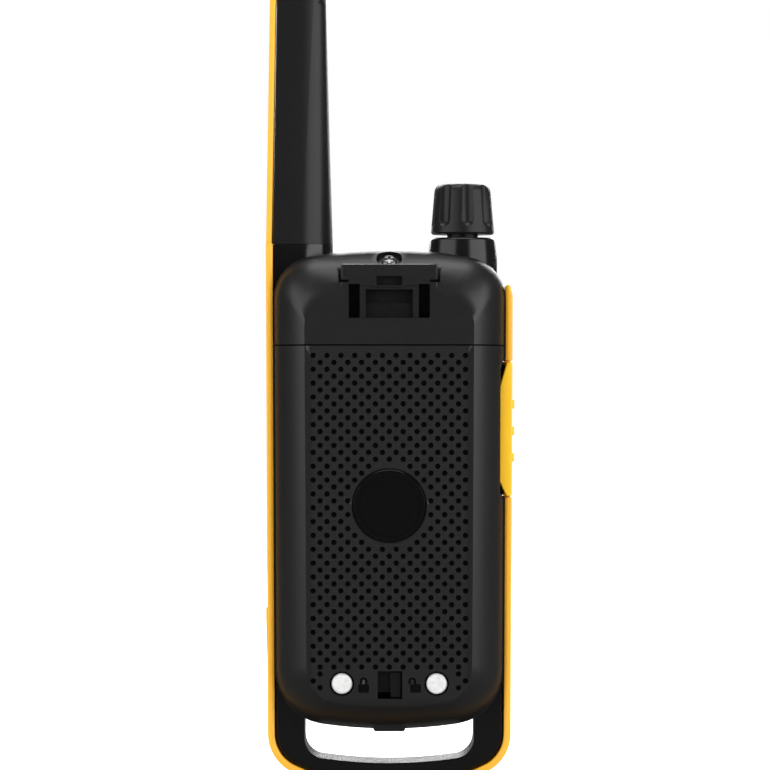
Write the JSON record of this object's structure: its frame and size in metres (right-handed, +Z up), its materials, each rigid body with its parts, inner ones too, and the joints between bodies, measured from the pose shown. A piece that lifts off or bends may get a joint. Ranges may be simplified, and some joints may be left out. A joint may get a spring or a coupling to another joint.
{
  "type": "two way radio",
  "caption": "Hand-held two way radio with side antenna, volume knob, talk button, dimpled battery door, yellow bumper and carrying loop.",
  "frame": {"origin": "on the surface the radio stands on, under the middle of its box", "axes": "+Z up along the antenna, -Y out of the display, +Y out of the battery door, +X towards the antenna side"},
  "size_m": [0.0563, 0.033, 0.186],
  "materials": {
    "case_black": "fine moulded texture",
    "satin_black": "satin",
    "rubber_black": "matte",
    "bumper_yellow": "matte soft-touch",
    "button_yellow": "satin",
    "steel": "brushed",
    "nickel": "bright plated",
    "brass": "satin",
    "board_green": "solder mask",
    "cell_sleeve": "satin sleeve",
    "display_clear": "polished",
    "display_dark": "polished",
    "light_clear": "frosted",
    "cone_grey": "pressed",
    "felt_black": "felt"
  },
  "bodies": {
    "case": {"front_housing": "case_black", "rear_housing": "case_black", "bay_seal": "rubber_black", "housing_gasket": "rubber_black", "bumper": "bumper_yellow", "antenna_sheath": "rubber_black", "antenna_trim": "bumper_yellow", "antenna_coil": "brass", "antenna_stud": "brass", "antenna_contact": "brass", "volume_encoder": "steel", "knob_collar": "satin_black", "ptt_switch": "steel", "keypad_membrane": "rubber_black", "keypad_board": "board_green", "usb_jack": "nickel", "display_lens": "display_clear", "lcd_module": "display_dark", "lcd_backlight": "light_clear", "speaker_felt": "felt_black", "speaker_frame": "steel", "speaker_cone": "cone_grey", "speaker_magnet": "nickel", "microphone_boot": "rubber_black", "microphone": "nickel", "status_light": "light_clear", "main_board": "board_green", "rf_shield": "nickel", "logic_shield": "nickel", "battery_cell_1": "cell_sleeve", "battery_cell_2": "cell_sleeve", "battery_cell_3": "cell_sleeve", "battery_contact_low": "nickel", "battery_contact_high": "nickel", "charge_contact_left": "nickel", "charge_contact_right": "nickel", "case_screw_top": "steel", "case_screw_left": "steel", "case_screw_right": "steel", "board_screw_lower": "steel", "board_screw_upper": "steel"},
    "volume_knob": {"volume_knob": "rubber_black", "encoder_shaft": "steel"},
    "talk_button": {"ptt_button": "button_yellow"},
    "battery_door": {"battery_door": "case_black", "door_badge": "satin_black"},
    "door_latch": {"door_latch": "rubber_black"},
    "port_cover": {"port_cover": "bumper_yellow"},
    "key_menu": {"key_menu": "rubber_black"},
    "key_down": {"key_down": "rubber_black"},
    "key_up": {"key_up": "rubber_black"},
    "key_call": {"key_call": "rubber_black"},
    "key_power": {"key_power": "rubber_black"}
  },
  "joints": [
    {"name": "knob_turn", "type": "hinge", "parent": "case", "child": "volume_knob", "pos_m": [-0.01667, 0, 0.131], "axis": [0, 0, -1], "range_deg": [0, 280]},
    {"name": "talk_press", "type": "slide", "parent": "case", "child": "talk_button", "axis": [1, 0, 0], "range_m": [0, 0.0006], "stiffness_N_per_m": 800},
    {"name": "door_open", "type": "hinge", "parent": "case", "child": "battery_door", "pos_m": [0, 0.0165, 0.09965], "axis": [1, 0, 0], "range_deg": [0, 75]},
    {"name": "latch_slide", "type": "slide", "parent": "battery_door", "child": "door_latch", "axis": [1, 0, 0], "range_m": [0, 0.0026]},
    {"name": "port_cover_open", "type": "hinge", "parent": "case", "child": "port_cover", "pos_m": [0.02749, -0.00225, 0.0208], "axis": [0, 1, 0], "range_deg": [0, 100]},
    {"name": "menu_press", "type": "slide", "parent": "case", "child": "key_menu", "axis": [0, 1, 0], "range_m": [0, 0.0005], "stiffness_N_per_m": 600},
    {"name": "down_press", "type": "slide", "parent": "case", "child": "key_down", "axis": [0, 1, 0], "range_m": [0, 0.0005], "stiffness_N_per_m": 600},
    {"name": "up_press", "type": "slide", "parent": "case", "child": "key_up", "axis": [0, 1, 0], "range_m": [0, 0.0005], "stiffness_N_per_m": 600},
    {"name": "call_press", "type": "slide", "parent": "case", "child": "key_call", "axis": [0, 1, 0], "range_m": [0, 0.0005], "stiffness_N_per_m": 600},
    {"name": "power_press", "type": "slide", "parent": "case", "child": "key_power", "axis": [0, 1, 0], "range_m": [0, 0.0005], "stiffness_N_per_m": 600}
  ]
}
